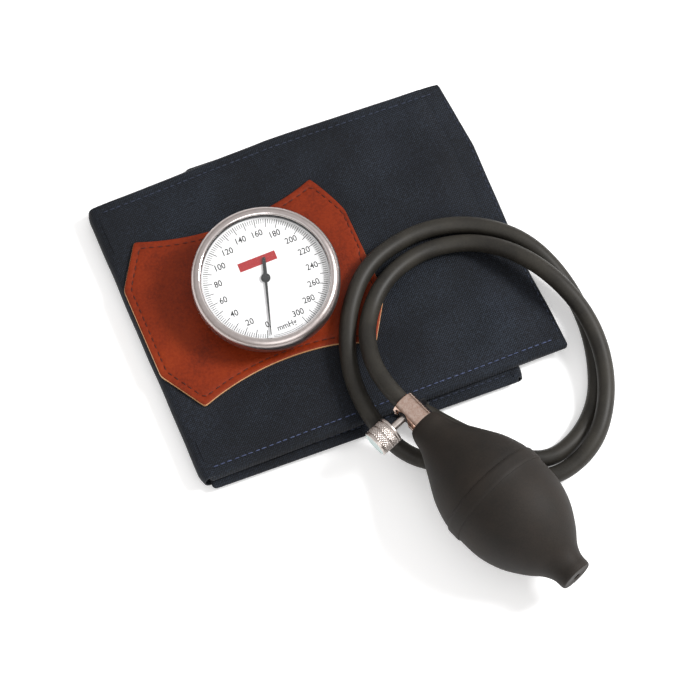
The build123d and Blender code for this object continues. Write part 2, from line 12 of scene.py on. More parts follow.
import bmesh
import bpy
import numpy as np
from mathutils import Matrix, Vector, noise


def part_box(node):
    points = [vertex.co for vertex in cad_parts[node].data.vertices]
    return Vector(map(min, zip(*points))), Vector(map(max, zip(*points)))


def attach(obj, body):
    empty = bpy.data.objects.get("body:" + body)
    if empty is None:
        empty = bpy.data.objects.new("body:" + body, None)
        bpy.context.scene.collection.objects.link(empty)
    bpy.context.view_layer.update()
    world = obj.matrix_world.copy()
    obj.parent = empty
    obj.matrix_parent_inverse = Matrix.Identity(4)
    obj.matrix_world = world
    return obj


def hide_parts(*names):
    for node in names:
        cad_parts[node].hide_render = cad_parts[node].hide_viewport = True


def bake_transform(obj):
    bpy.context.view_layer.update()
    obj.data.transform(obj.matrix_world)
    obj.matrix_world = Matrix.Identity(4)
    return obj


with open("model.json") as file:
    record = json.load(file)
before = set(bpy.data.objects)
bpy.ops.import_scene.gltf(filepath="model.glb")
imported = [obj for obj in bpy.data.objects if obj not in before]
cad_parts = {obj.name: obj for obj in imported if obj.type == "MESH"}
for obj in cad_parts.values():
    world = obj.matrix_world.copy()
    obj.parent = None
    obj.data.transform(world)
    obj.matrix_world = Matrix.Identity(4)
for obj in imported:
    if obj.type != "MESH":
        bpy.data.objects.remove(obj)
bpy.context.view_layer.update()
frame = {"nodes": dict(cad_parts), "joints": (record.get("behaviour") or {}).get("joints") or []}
MM = 0.001

# ---------------------------------------------------------------- places, all read from the frame
joints = {joint["name"]: joint for joint in frame["joints"]}
panel_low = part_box("cuff_outer_panel")[0]
CUFF_FRAME_LOW = (79.5, 68.0)  # the top leaf's low corner lies this far before the cuff's own origin
CUFF = Vector((panel_low.x + CUFF_FRAME_LOW[0] * MM, panel_low.y + CUFF_FRAME_LOW[1] * MM, 0))
UP = Vector((0, 0, 1))


def on_cuff(x, y, z=0.0):
    return CUFF + Vector((x, y, z)) * MM


def placed(origin, x_axis, z_axis):
    """Matrix of a local frame with that origin, X and Z, whose local unit is a millimetre."""
    z = Vector(z_axis).normalized()
    x = (Vector(x_axis) - z * Vector(x_axis).dot(z)).normalized()
    y = z.cross(x)
    turn = Matrix((x, y, z)).transposed().to_4x4()
    return Matrix.Translation(origin) @ turn @ Matrix.Scale(MM, 4)


POINTER_W = 16.2  # height of the pointer's joint along the gauge's axis
GAUGE_UP = -Vector(joints["pointer_turn"]["axis"])
GAUGE_AT = Vector(joints["pointer_turn"]["pos_m"]) - GAUGE_UP * POINTER_W * MM
GAUGE = placed(GAUGE_AT, (1, 0, 0), GAUGE_UP)

KNOB_JOINT_AT = 16.0  # distance of the knob's joint from the valve's axis
KNOB_AT = 7.3  # distance of the knob's axis from the bulb's mouth
BULB_DIR = -Vector(joints["outlet_disc_lift"]["axis"])
BULB_UP = -Vector(joints["bulb_squeeze"]["axis"])
KNOB_DIR = Vector(joints["knob_turn"]["axis"])
KNOB_CENTRE = Vector(joints["knob_turn"]["pos_m"]) - KNOB_DIR * KNOB_JOINT_AT * MM
NECK = KNOB_CENTRE + BULB_DIR * KNOB_AT * MM
BARREL_L = 12.8
BULB = placed(NECK, BULB_UP, BULB_DIR)
KNOB = placed(KNOB_CENTRE, BULB_DIR, KNOB_DIR)
LEAF_TURN = -math.atan2(joints["tail_unfold"]["axis"][0], joints["tail_unfold"]["axis"][1])


# ---------------------------------------------------------------- meshes
def mesh_piece(name, points, faces, materials, place=None, sharp_deg=None):
    """New mesh object, smooth, with sharp edges where its faces meet at more than sharp_deg."""
    data = bpy.data.meshes.new(name)
    data.from_pydata([tuple(p) for p in points], [], [tuple(f) for f in faces])
    if place is not None:
        data.transform(place)
    piece = bpy.data.objects.new(name, data)
    bpy.context.scene.collection.objects.link(piece)
    for material in materials if isinstance(materials, list) else [materials]:
        data.materials.append(material)
    finish_mesh(data, sharp_deg)
    return piece


def finish_mesh(data, sharp_deg=None):
    mesh = bmesh.new()
    mesh.from_mesh(data)
    bmesh.ops.remove_doubles(mesh, verts=mesh.verts, dist=1e-7)
    bmesh.ops.recalc_face_normals(mesh, faces=mesh.faces)
    for face in mesh.faces:
        face.smooth = True
    if sharp_deg:
        limit = math.radians(sharp_deg)
        for edge in mesh.edges:
            edge.smooth = len(edge.link_faces) != 2 or edge.calc_face_angle() < limit
    mesh.to_mesh(data)
    mesh.free()


def lathe(name, place, outline, material, segments=128, closed=False, sharp_deg=38, radius_at=None):
    """Turned mesh. outline is (radius, height) pairs about Z; radius_at may vary the radius by angle."""
    points, rings = [], []
    for radius, height in outline:
        if radius == 0:
            rings.append([len(points)])
            points.append((0, 0, height))
            continue
        rings.append(list(range(len(points), len(points) + segments)))
        for index in range(segments):
            angle = math.tau * index / segments
            r = radius_at(radius, height, angle) if radius_at else radius
            points.append((r * math.cos(angle), r * math.sin(angle), height))
    faces = []
    pairs = list(zip(rings, rings[1:])) + ([(rings[-1], rings[0])] if closed else [])
    for low, high in pairs:
        for index in range(segments):
            after = (index + 1) % segments
            if len(low) == 1:
                faces.append((low[0], high[index], high[after]))
            elif len(high) == 1:
                faces.append((low[index], low[after], high[0]))
            else:
                faces.append((low[index], low[after], high[after], high[index]))
    return mesh_piece(name, points, faces, material, place, sharp_deg)


def smooth_between(p, q, r, s, t):
    """Catmull-Rom value a share t of the way from q to r."""
    bend, twist = 2 * p - 5 * q + 4 * r - s, 3 * q - p - 3 * r + s
    return 0.5 * (2 * q + (r - p) * t + bend * t**2 + twist * t**3)


def rounded(outline, steps=4):
    """The outline with a smooth curve through its points, for turned rubber."""
    dense = []
    ends = [outline[0]] + list(outline) + [outline[-1]]
    for a, b, c, d in zip(ends, ends[1:], ends[2:], ends[3:]):
        for step in range(steps):
            dense.append(tuple(smooth_between(*values, step / steps) for values in zip(a, b, c, d)))
    return dense + [outline[-1]]


# ---------------------------------------------------------------- materials
def linear(value):
    """Linear light of one 8-bit screen value, by the sRGB curve."""
    return ((value / 255 + 0.055) / 1.055) ** 2.4 if value > 10 else value / 255 / 12.92


def srgb(red, green, blue):
    return linear(red), linear(green), linear(blue), 1


class Shader:
    """A Principled material that is built up from a few procedural layers."""

    def __init__(self, name, roughness, metallic=0.0, **inputs):
        self.material = bpy.data.materials.new(name)
        self.material.use_nodes = True
        self.nodes, self.links = self.material.node_tree.nodes, self.material.node_tree.links
        self.shader = self.nodes["Principled BSDF"]
        self.shader.inputs["Roughness"].default_value = roughness
        self.shader.inputs["Metallic"].default_value = metallic
        for key, value in inputs.items():
            self.shader.inputs[key.replace("_", " ")].default_value = value
        self.place = self.nodes.new("ShaderNodeTexCoord").outputs["Object"]

    def noise(self, size, detail=3.0, roughness=0.55, stretch=(1, 1, 1)):
        """Noise whose features are about size millimetres."""
        mapping = self.nodes.new("ShaderNodeMapping")
        mapping.inputs["Scale"].default_value = [1 / (size * MM * s) for s in stretch]
        texture = self.nodes.new("ShaderNodeTexNoise")
        texture.inputs["Scale"].default_value = 1.0
        texture.inputs["Detail"].default_value = detail
        texture.inputs["Roughness"].default_value = roughness
        self.links.new(self.place, mapping.inputs["Vector"])
        self.links.new(mapping.outputs["Vector"], texture.inputs["Vector"])
        return texture.outputs["Fac"]

    def cells(self, size, feature="F1"):
        texture = self.nodes.new("ShaderNodeTexVoronoi")
        texture.feature = feature
        texture.inputs["Scale"].default_value = 1 / (size * MM)
        self.links.new(self.place, texture.inputs["Vector"])
        return texture.outputs["Distance"]

    def math(self, operation, first, second=None):
        node = self.nodes.new("ShaderNodeMath")
        node.operation = operation
        for socket, value in zip(node.inputs, (first, second)):
            if isinstance(value, (int, float)):
                socket.default_value = value
            elif value is not None:
                self.links.new(value, socket)
        return node.outputs[0]

    def along(self, direction):
        """Distance along a direction, in radians when the direction is scaled that way."""
        node = self.nodes.new("ShaderNodeVectorMath")
        node.operation = "DOT_PRODUCT"
        node.inputs[1].default_value = direction
        self.links.new(self.place, node.inputs[0])
        return node.outputs["Value"]

    def ramp(self, factor, *stops):
        """Colours at positions along a factor."""
        node = self.nodes.new("ShaderNodeValToRGB")
        elements = node.color_ramp.elements
        while len(elements) < len(stops):
            elements.new(0.5)
        for element, (position, colour) in zip(elements, stops):
            element.position = position
            element.color = colour
        self.links.new(factor, node.inputs["Fac"])
        return node.outputs["Color"]

    def colour(self, socket):
        self.links.new(socket, self.shader.inputs["Base Color"])
        return self

    def rough(self, factor, low, high):
        node = self.nodes.new("ShaderNodeMapRange")
        node.inputs["To Min"].default_value = low
        node.inputs["To Max"].default_value = high
        self.links.new(factor, node.inputs["Value"])
        self.links.new(node.outputs["Result"], self.shader.inputs["Roughness"])
        return self

    def bump(self, height, depth, strength=1.0):
        """Relief depth millimetres deep; several calls add up."""
        node = self.nodes.new("ShaderNodeBump")
        node.inputs["Strength"].default_value = strength
        node.inputs["Distance"].default_value = depth * MM
        self.links.new(height, node.inputs["Height"])
        if self.shader.inputs["Normal"].is_linked:
            self.links.new(self.shader.inputs["Normal"].links[0].from_socket, node.inputs["Normal"])
        self.links.new(node.outputs["Normal"], self.shader.inputs["Normal"])
        return self


def woven(name, dark, middle, light, pitch=1.15):
    """Closely woven nylon: threads over and under, broken up by slow and fine colour changes."""
    cloth = Shader(name, 0.72, Sheen_Weight=0.08, Sheen_Roughness=0.4, Specular_IOR_Level=0.22)
    k = math.tau / (pitch * MM)
    across = cloth.math("SINE", cloth.along((k, 0, k * 0.8)))
    along = cloth.math("SINE", cloth.along((0, k, k * 0.8)))
    weave = cloth.math("MULTIPLY", across, along)
    grain = cloth.noise(0.7, 2.0)
    slow = cloth.noise(38.0, 3.0)
    mixed = cloth.math("ADD", cloth.math("MULTIPLY", weave, 0.17), cloth.math("MULTIPLY", grain, 0.7))
    mixed = cloth.math("ADD", mixed, cloth.math("MULTIPLY", slow, 0.38))
    cloth.colour(cloth.ramp(mixed, (0.2, dark), (0.52, middle), (0.86, light)))
    cloth.rough(grain, 0.62, 0.85)
    cloth.bump(weave, 0.09).bump(grain, 0.05).bump(cloth.noise(14.0, 2.0), 0.5, 0.25)
    return cloth.material


def leather(name, dark, middle, light):
    hide = Shader(name, 0.5, Specular_IOR_Level=0.2)
    slow, fine = hide.noise(26.0, 4.0), hide.noise(1.1, 4.0)
    grain = hide.cells(0.85)
    mixed = hide.math("ADD", hide.math("MULTIPLY", slow, 0.62), hide.math("MULTIPLY", fine, 0.38))
    hide.colour(hide.ramp(mixed, (0.3, dark), (0.5, middle), (0.72, light)))
    hide.rough(fine, 0.42, 0.6)
    hide.bump(grain, 0.05).bump(fine, 0.06).bump(slow, 0.4, 0.3)
    return hide.material


def rubber(name, dark, light, roughness, relief=0.04):
    stuff = Shader(name, roughness, Specular_IOR_Level=0.3)
    slow, fine = stuff.noise(16.0, 4.0), stuff.noise(0.8, 3.0)
    mixed = stuff.math("ADD", stuff.math("MULTIPLY", slow, 0.7), stuff.math("MULTIPLY", fine, 0.3))
    stuff.colour(stuff.ramp(mixed, (0.34, dark), (0.66, light)))
    stuff.rough(slow, roughness - 0.07, roughness + 0.08)
    stuff.bump(fine, relief)
    return stuff.material


def metal(name, colour, tint, roughness, scratch=(1, 1, 1), relief=0.004):
    plate = Shader(name, roughness, 1.0)
    marks = plate.noise(1.6, 5.0, 0.7, scratch)
    plate.colour(plate.ramp(marks, (0.3, colour), (0.75, tint)))
    plate.rough(marks, roughness * 0.75, roughness * 1.35)
    plate.bump(marks, relief)
    return plate.material


def paint(name, colour, shade, roughness, relief=0.01):
    coat = Shader(name, roughness, Specular_IOR_Level=0.4)
    speckle = coat.noise(0.5, 3.0)
    coat.colour(coat.ramp(speckle, (0.3, shade), (0.7, colour)))
    coat.bump(speckle, relief)
    return coat.material


def glass(name):
    """Thin clear glass: almost all light passes, and the surface still mirrors the lamps."""
    clear = Shader(name, 0.03, Alpha=0.025, IOR=1.5, Specular_IOR_Level=0.5)
    haze = clear.noise(18.0, 2.0)
    clear.rough(haze, 0.02, 0.06)
    clear.colour(clear.ramp(haze, (0.2, srgb(236, 240, 242)), (0.8, srgb(252, 253, 255))))
    return clear.material


NYLON = woven("navy_nylon", srgb(4, 5, 8), srgb(14, 17, 23), srgb(46, 53, 64))
LOOP_PILE = woven("loop_pile", srgb(12, 13, 18), srgb(24, 27, 34), srgb(48, 52, 64), 0.6)
HOOK_PILE = woven("hook_pile", srgb(8, 9, 12), srgb(17, 18, 22), srgb(40, 42, 50), 1.6)
LEATHER = leather("orange_leather", srgb(84, 23, 3), srgb(122, 38, 6), srgb(140, 50, 12))
CUT_EDGE = leather("leather_cut_edge", srgb(170, 110, 70), srgb(214, 160, 112), srgb(232, 190, 150))
THREAD = paint("hem_thread", srgb(86, 97, 132), srgb(46, 54, 82), 0.65)
# The same hem thread with its colour darkened as painted shade, used on the rear, right, middle and tail
# hems.
THREAD_PAINTED_SHADE = paint("hem_thread_painted_shade", srgb(56, 64, 84), srgb(28, 33, 46), 0.7)
THREAD_DARK = paint("leather_thread", srgb(84, 24, 8), srgb(50, 14, 6), 0.6)
BULB_RUBBER = rubber("bulb_rubber", srgb(21, 17, 13), srgb(37, 30, 24), 0.66)
HOSE_RUBBER = rubber("hose_rubber", srgb(31, 29, 26), srgb(50, 47, 41), 0.5, 0.02)
BLACK_RUBBER = rubber("seal_rubber", srgb(14, 14, 15), srgb(30, 30, 32), 0.5)
CHROME = metal("polished_chrome", srgb(226, 219, 217), srgb(240, 236, 234), 0.09)
# Chrome tinted orange-brown: painted reflection of the orange leather patch.
CHROME_PAINTED_LEATHER_REFLECTION = metal("valve_chrome", srgb(192, 160, 143), srgb(224, 203, 192), 0.11, relief=0.001)
# Its roughness is the real satin finish. Its darker, pinkish colour is a painted reflection of a dark
# surround and the leather.
SATIN_CHROME_PAINTED_REFLECTION = metal("satin_chrome", srgb(186, 176, 173), srgb(200, 191, 188), 0.3, relief=0.0006)
NICKEL = metal("knurled_nickel", srgb(188, 178, 172), srgb(220, 211, 205), 0.3, relief=0.001)
NICKEL_END = metal("knob_end_plate", srgb(186, 204, 202), srgb(214, 228, 226), 0.34)
BRASS = metal("movement_brass", srgb(181, 142, 66), srgb(214, 178, 98), 0.3, (1, 6, 1))
BRONZE = metal("spring_bronze", srgb(150, 104, 58), srgb(186, 140, 86), 0.28)
STEEL = metal("ground_steel", srgb(150, 151, 155), srgb(186, 187, 191), 0.26, (8, 1, 1))
DIAL_WHITE = paint("dial_enamel", srgb(250, 250, 250), srgb(243, 243, 244), 0.45)
PRINT_GREY = paint("dial_print", srgb(26, 26, 29), srgb(18, 18, 20), 0.6)
PRINT_RED = paint("dial_red", srgb(168, 4, 14), srgb(154, 3, 11), 0.6)
POINTER_BLACK = paint("pointer_black", srgb(26, 26, 28), srgb(14, 14, 15), 0.4)
LENS = glass("lens_glass")


def dress(material, *names):
    for name in names:
        node = frame["nodes"][name]
        node.data.materials.clear()
        node.data.materials.append(material)


dress(LOOP_PILE, "loop_tape")
dress(HOOK_PILE, "hook_tape")
dress(BLACK_RUBBER, "bladder", "bladder_hose_port", "bladder_gauge_port")
dress(BLACK_RUBBER, "stem_packing", "outlet_valve_disc", "lens_gasket")
dress(CHROME, "gauge_stem")
# The valve barrel's orange tint is a painted reflection of the leather.
dress(CHROME_PAINTED_LEATHER_REFLECTION, "valve_body")
# The case's darker, pinkish colour is painted reflection.
dress(SATIN_CHROME_PAINTED_REFLECTION, "gauge_case")
dress(NICKEL, "hose_barb", "valve_needle", "inlet_valve_body")
dress(DIAL_WHITE, "dial")
dress(POINTER_BLACK, "pointer")
dress(LENS, "gauge_lens")
dress(BRASS, "movement_plate", "movement_bridge", "movement_posts")
dress(BRASS, "sector_gear", "rocker_bearings", "outlet_valve_seat")
dress(BRONZE, "pressure_capsule", "capsule_stud", "hairspring")
dress(STEEL, "pointer_shaft", "rocking_shaft", "inlet_valve_ball", "intake_screen")

# ---------------------------------------------------------------- camera, light and floor
LOOK_AT = (-1.6, -30.8)  # point of the table at the middle of the picture, in the cuff's frame
LOOK_AZIMUTH, LOOK_TILT = 22.5, 26.0  # degrees clockwise from +Y, and from straight down
LOOK_FROM = 1400.0
LENS_MM = 169.2
FLOOR_REACH = 4.0  # metres from the middle of the floor to its edge
FLOOR_DROP = 0.05


def add_camera():
    camera = bpy.data.objects.new("camera", bpy.data.cameras.new("camera"))
    turn, tilt = math.radians(LOOK_AZIMUTH), math.radians(LOOK_TILT)
    back = Vector((-math.sin(turn) * math.sin(tilt), -math.cos(turn) * math.sin(tilt), math.cos(tilt)))
    camera.location = on_cuff(*LOOK_AT) + back * LOOK_FROM * MM
    camera.rotation_euler = (-back).to_track_quat("-Z", "Y").to_euler()
    camera.data.lens = LENS_MM
    camera.data.sensor_width = 36.0
    camera.data.clip_start, camera.data.clip_end = 0.05, 20.0
    bpy.context.scene.collection.objects.link(camera)
    bpy.context.scene.camera = camera


def add_lamp(name, toward, distance, size, watts, colour=(1, 1, 1)):
    data = bpy.data.lights.new(name, "AREA")
    data.energy, data.size, data.color = watts, size, colour
    lamp = bpy.data.objects.new(name, data)
    direction = Vector(toward).normalized()
    lamp.location = CUFF + direction * distance
    lamp.rotation_euler = direction.to_track_quat("Z", "Y").to_euler()
    bpy.context.scene.collection.objects.link(lamp)


def add_stage():
    reach = FLOOR_REACH
    floor_paint = paint("studio_floor", srgb(250, 250, 250), srgb(248, 248, 248), 0.9)
    glow = floor_paint.node_tree.nodes["Principled BSDF"]
    glow.inputs["Emission Color"].default_value = (1, 1, 1, 1)
    glow.inputs["Emission Strength"].default_value = 0.3
    corners = [(-reach, -reach, 0), (reach, -reach, 0), (reach, reach, 0), (-reach, reach, 0)]
    floor = mesh_piece("floor", corners, [(0, 1, 2, 3)], floor_paint)
    floor.location.z = -FLOOR_DROP * MM
    world = bpy.data.worlds.new("studio")
    world.use_nodes = True
    nodes, links = world.node_tree.nodes, world.node_tree.links
    split = nodes.new("ShaderNodeSeparateXYZ")
    links.new(nodes.new("ShaderNodeTexCoord").outputs["Generated"], split.inputs[0])
    ramp = nodes.new("ShaderNodeValToRGB")
    low, high = ramp.color_ramp.elements
    low.position, low.color = 0.12, (0.3, 0.25, 0.22, 1)
    high.position, high.color = 0.55, (1.0, 0.99, 0.985, 1)
    links.new(split.outputs["Z"], ramp.inputs["Fac"])
    links.new(ramp.outputs["Color"], nodes["Background"].inputs["Color"])
    nodes["Background"].inputs["Strength"].default_value = 0.72
    bpy.context.scene.world = world
    add_lamp("key", (0.95, -0.25, 1.0), 1.3, 0.36, 15.5)
    add_lamp("fill", (-0.1, -0.9, 0.8), 1.5, 0.9, 4.5)
    bpy.context.scene.view_settings.view_transform = "Standard"


add_camera()
add_stage()

# ---------------------------------------------------------------- hose
HOSE_R = 3.7
HOSE_END_RUN = 14.0
PORT_MOUTH = (14.0, -73.6, 10.0)
PORT_FACING = math.radians(-54.0)
HOSE_ROUTE = [
    (1.8, -41.0, 21.5),
    (8.2, -27.0, 16.4),
    (18.4, -15.3, 16.0),
    (32.8, -7.8, 15.4),
    (49.5, -5.8, 14.4),
    (65.5, -11.0, 15.6),
    (78.0, -24.0, 19.8),
    (88.0, -41.0, 20.2),
    (94.5, -60.5, 16.0),
    (93.8, -80.5, 12.4),
    (86.5, -99.5, 11.4),
    (74.5, -114.2, 8.4),
    (58.0, -119.8, 4.2),
    (43.6, -116.8, 4.0),
    (29.4, -103.8, 3.9),
    (13.0, -96.6, 3.9),
    (-0.5, -86.5, 5.6),
    (-8.0, -72.0, 14.6),
    (-9.6, -54.5, 16.3),
    (-5.6, -36.3, 15.9),
    (3.1, -18.8, 15.9),
    (16.4, -4.2, 16.1),
    (34.5, 2.6, 15.0),
    (53.5, 3.2, 14.4),
    (71.5, -4.0, 14.4),
    (85.8, -18.5, 14.6),
    (94.0, -37.5, 9.4),
    (96.0, -58.5, 4.7),
    (91.8, -78.0, 4.1),
    (84.0, -95.0, 4.1),
    (71.0, -106.8, 4.1),
    (55.5, -112.0, 4.1),
    (42.2, -105.8, 5.4),
    (31.6, -94.8, 8.6),
]


def add_hose():
    """The hose as one NURBS line from the valve's barrel to the outlet at the cuff's edge."""
    mouth = NECK - BULB_DIR * BARREL_L * MM
    outlet = on_cuff(*PORT_MOUTH)
    facing = Vector((math.cos(PORT_FACING), math.sin(PORT_FACING), 0))
    points = [mouth, mouth - BULB_DIR * HOSE_END_RUN * MM]
    points += [on_cuff(*point) for point in HOSE_ROUTE]
    points += [outlet + facing * HOSE_END_RUN * MM, outlet]
    data = bpy.data.curves.new("hose_tube", "CURVE")
    data.dimensions = "3D"
    data.resolution_u = 10
    data.bevel_depth = HOSE_R * MM
    data.bevel_resolution = 10
    data.use_fill_caps = True
    line = data.splines.new("NURBS")
    line.points.add(len(points) - 1)
    for point, place in zip(line.points, points):
        point.co = (*place, 1)
    line.order_u = 3
    line.use_endpoint_u = True
    data.materials.append(HOSE_RUBBER)
    hose = bpy.data.objects.new("hose_tube", data)
    bpy.context.scene.collection.objects.link(hose)
    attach(hose, "cuff")
    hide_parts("hose")


add_hose()


# ---------------------------------------------------------------- cloth leaves
def steps_between(low, high, fine=0.6, coarse=2.0, border=10.0):
    """Grid lines, close together near both ends."""
    inside = np.linspace(low + border, high - border, round((high - low - 2 * border) / coarse) + 1)
    near = np.linspace(0, border, round(border / fine) + 1)[:-1]
    return np.concatenate([low + near, inside, (high - near)[::-1]])


def side_profile(*points):
    """Height of the cloth against the distance from one edge, both in millimetres."""
    distances, heights = zip(*points)
    return lambda d: np.interp(d, distances, heights)


REAR_HEM = side_profile((0, -2.2), (0.3, -0.9), (0.9, -0.1), (1.8, 0.35), (2.8, 0.4), (3.6, 0),
                        (4.2, -0.75), (4.8, -0.75), (6, -0.35), (8, 0.15), (12, 0.45))
FRONT_HEM = side_profile((0, -2.3), (0.3, -1.3), (1, -0.7), (2.4, -0.45), (3.6, -0.4), (4.4, -0.85),
                         (5, -0.85), (6.2, -0.3), (9, 0.15), (14, 0.45))
RIGHT_HEM = side_profile((0, -2.3), (0.3, -1.4), (0.9, -1), (1.6, -1.15), (3, -0.8), (8, -0.6), (8.6, -0.85),
                         (9.2, -0.6), (14, 0.1), (20, 0.4))
PLAIN = side_profile((0, 0), (6, 0.1), (20, 0.45))
LOWER_HEM = side_profile((0, -0.9), (0.3, -0.45), (0.9, -0.15), (2, 0), (3.4, 0), (4.1, -0.35), (4.7, -0.35),
                         (5.6, -0.05), (8, 0))
LOWER_END = side_profile((0, -0.5), (0.5, -0.1), (1.2, 0))


UNDERSIDE_LIFT = 0.22  # how far the underside curls up at its edge, as a share of the thickness
UNDERSIDE_EDGE = 1.6


class Leaf:
    """A closed flat envelope of cloth. Its local frame is in millimetres, with Z up from the table."""

    def __init__(self, place, x_span, y_span, z_span, corner, sides, relief=None, bow=None):
        self.place, self.x_span, self.y_span, self.z_span = place, x_span, y_span, z_span
        self.corner, self.sides, self.relief, self.bow = corner, sides, relief, bow

    def height(self, x, y):
        """Height of the upper face at points given before the edges are bowed."""
        left, right = x - self.x_span[0], self.x_span[1] - x
        front, rear = y - self.y_span[0], self.y_span[1] - y
        z = np.minimum.reduce([side(d) for side, d in zip(self.sides, (left, right, front, rear))])
        if self.relief:
            z = z + self.relief(x, y)
        return self.z_span[1] + z

    def bowed(self, x, y):
        return self.bow(x, y) if self.bow else (x, y)

    def rounded_corners(self, x, y):
        """The grid with its square corners drawn in to rounded ones."""
        r = self.corner
        middle_x, middle_y = sum(self.x_span) / 2, sum(self.y_span) / 2
        half_x, half_y = self.x_span[1] - middle_x - r, self.y_span[1] - middle_y - r
        a = np.clip((np.abs(x - middle_x) - half_x) / r, 0, 1)
        b = np.clip((np.abs(y - middle_y) - half_y) / r, 0, 1)
        out_x = x - np.sign(x - middle_x) * r * a * (1 - np.sqrt(1 - b * b / 2))
        out_y = y - np.sign(y - middle_y) * r * b * (1 - np.sqrt(1 - a * a / 2))
        return out_x, out_y

    def mesh(self, name, material):
        xs, ys = steps_between(*self.x_span), steps_between(*self.y_span)
        grid_x, grid_y = np.meshgrid(xs, ys, indexing="ij")
        top = self.height(grid_x, grid_y)
        edge = np.minimum.reduce([grid_x - xs[0], xs[-1] - grid_x, grid_y - ys[0], ys[-1] - grid_y])
        thick = self.z_span[1] - self.z_span[0]
        curl = np.clip(1 - edge / UNDERSIDE_EDGE, 0, 1) ** 2
        low = self.z_span[0] + UNDERSIDE_LIFT * thick * curl
        x, y = self.bowed(*self.rounded_corners(grid_x, grid_y))
        points = [tuple(p) for z in (top, low) for p in np.stack([x, y, z], -1).reshape(-1, 3)]
        rows, columns = grid_x.shape
        half = rows * columns
        faces = []
        for i in range(rows - 1):
            for j in range(columns - 1):
                a = i * columns + j
                b, c, d = a + columns, a + columns + 1, a + 1
                faces.append((a, b, c, d))
                faces.append((half + a, half + d, half + c, half + b))
        rim = [i * columns for i in range(rows)]
        rim += [(rows - 1) * columns + j for j in range(1, columns)]
        rim += [i * columns + columns - 1 for i in range(rows - 2, -1, -1)]
        rim += [j for j in range(columns - 2, 0, -1)]
        for a, b in zip(rim, rim[1:] + rim[:1]):
            faces.append((a, half + a, half + b, b))
        return mesh_piece(name, points, faces, material, self.place)


THREAD_SIDES = 8
THREAD_RISE = 0.35  # how far a stitch's middle stands off the cloth, as a share of the thread's radius
# share of the way along a stitch, its girth and its lift, both as shares of the thread's radius
THREAD_STATIONS = (
    (0.0, 0.35, -0.35), (0.16, 0.85, 0.0), (0.5, 1.0, 0.25), (0.84, 0.85, 0.0), (1.0, 0.35, -0.35),
)


def capsule(points, faces, start, end, radius, up):
    """Adds one short thread between two points to a mesh."""
    along = Vector(end) - Vector(start)
    side = along.cross(up).normalized()
    rise = side.cross(along).normalized()
    base = len(points)
    sides = THREAD_SIDES
    for share, girth, lift in THREAD_STATIONS:
        centre = Vector(start) + along * share + rise * radius * lift
        for index in range(sides):
            angle = math.tau * index / sides
            points.append(centre + (side * math.cos(angle) + rise * math.sin(angle)) * radius * girth)
    last = len(THREAD_STATIONS) - 1
    for ring in range(last):
        for index in range(sides):
            after = (index + 1) % sides
            a, b = base + ring * sides, base + ring * sides + sides
            faces.append((a + index, a + after, b + after, b + index))
    faces.append([base + index for index in range(sides - 1, -1, -1)])
    faces.append([base + last * sides + index for index in range(sides)])


def stitches(name, line, height, place, material, pitch, length, radius, body):
    """Thread dashes along a line of (x, y) points, lying on the surface that height(x, y) gives."""
    line = np.array(line, float)
    runs = np.hypot(*np.diff(line, axis=0).T)
    reach = np.concatenate([[0], np.cumsum(runs)])
    points, faces = [], []
    for index in range(int((reach[-1] - length) / pitch)):
        jitter = 0.18 * math.sin(index * 2.4) + 0.1 * math.sin(index * 5.1)
        start = 0.5 * pitch + index * pitch + jitter
        ends = []
        for at in (start, start + length * (1 + 0.06 * math.sin(index * 3.7))):
            x, y = np.interp(at, reach, line[:, 0]), np.interp(at, reach, line[:, 1])
            ends.append((x, y, float(height(x, y)) + radius * THREAD_RISE))
        capsule(points, faces, ends[0], ends[1], radius, UP)
    thread = mesh_piece(name, points, faces, material, place)
    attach(thread, body)


# ---------------------------------------------------------------- leather patch
TOP_LEAF_X, TOP_LEAF_Y, TOP_LEAF_Z = (-79.5, 82.5), (-68.0, 72.0), (5.6, 10.2)
PATCH_X, PATCH_Y = -28.7, 5.0
PATCH_OUT, PATCH_SIDE, PATCH_IN, PATCH_TOP, PATCH_HOLLOW = 53.2, 21.8, 41.0, 42.0, 34.2
PATCH_RIGHT_CUT = 4.5  # the right end is cut shorter than the left one
LEATHER_T = 1.5
PATCH_SEAM = 3.0  # distance of the patch's stitches from its edge
PATCH_RIM = 5.5  # width of the shaped rim of the patch
PATCH_CUT_FROM = 20.0  # distance from the middle at which the right end starts to be cut shorter
GAUGE_HOLE_R = 6.6
GAUGE_X, GAUGE_Y = -25.6, 3.9
CUFF_PLACE = Matrix.Translation(CUFF) @ Matrix.Scale(MM, 4)


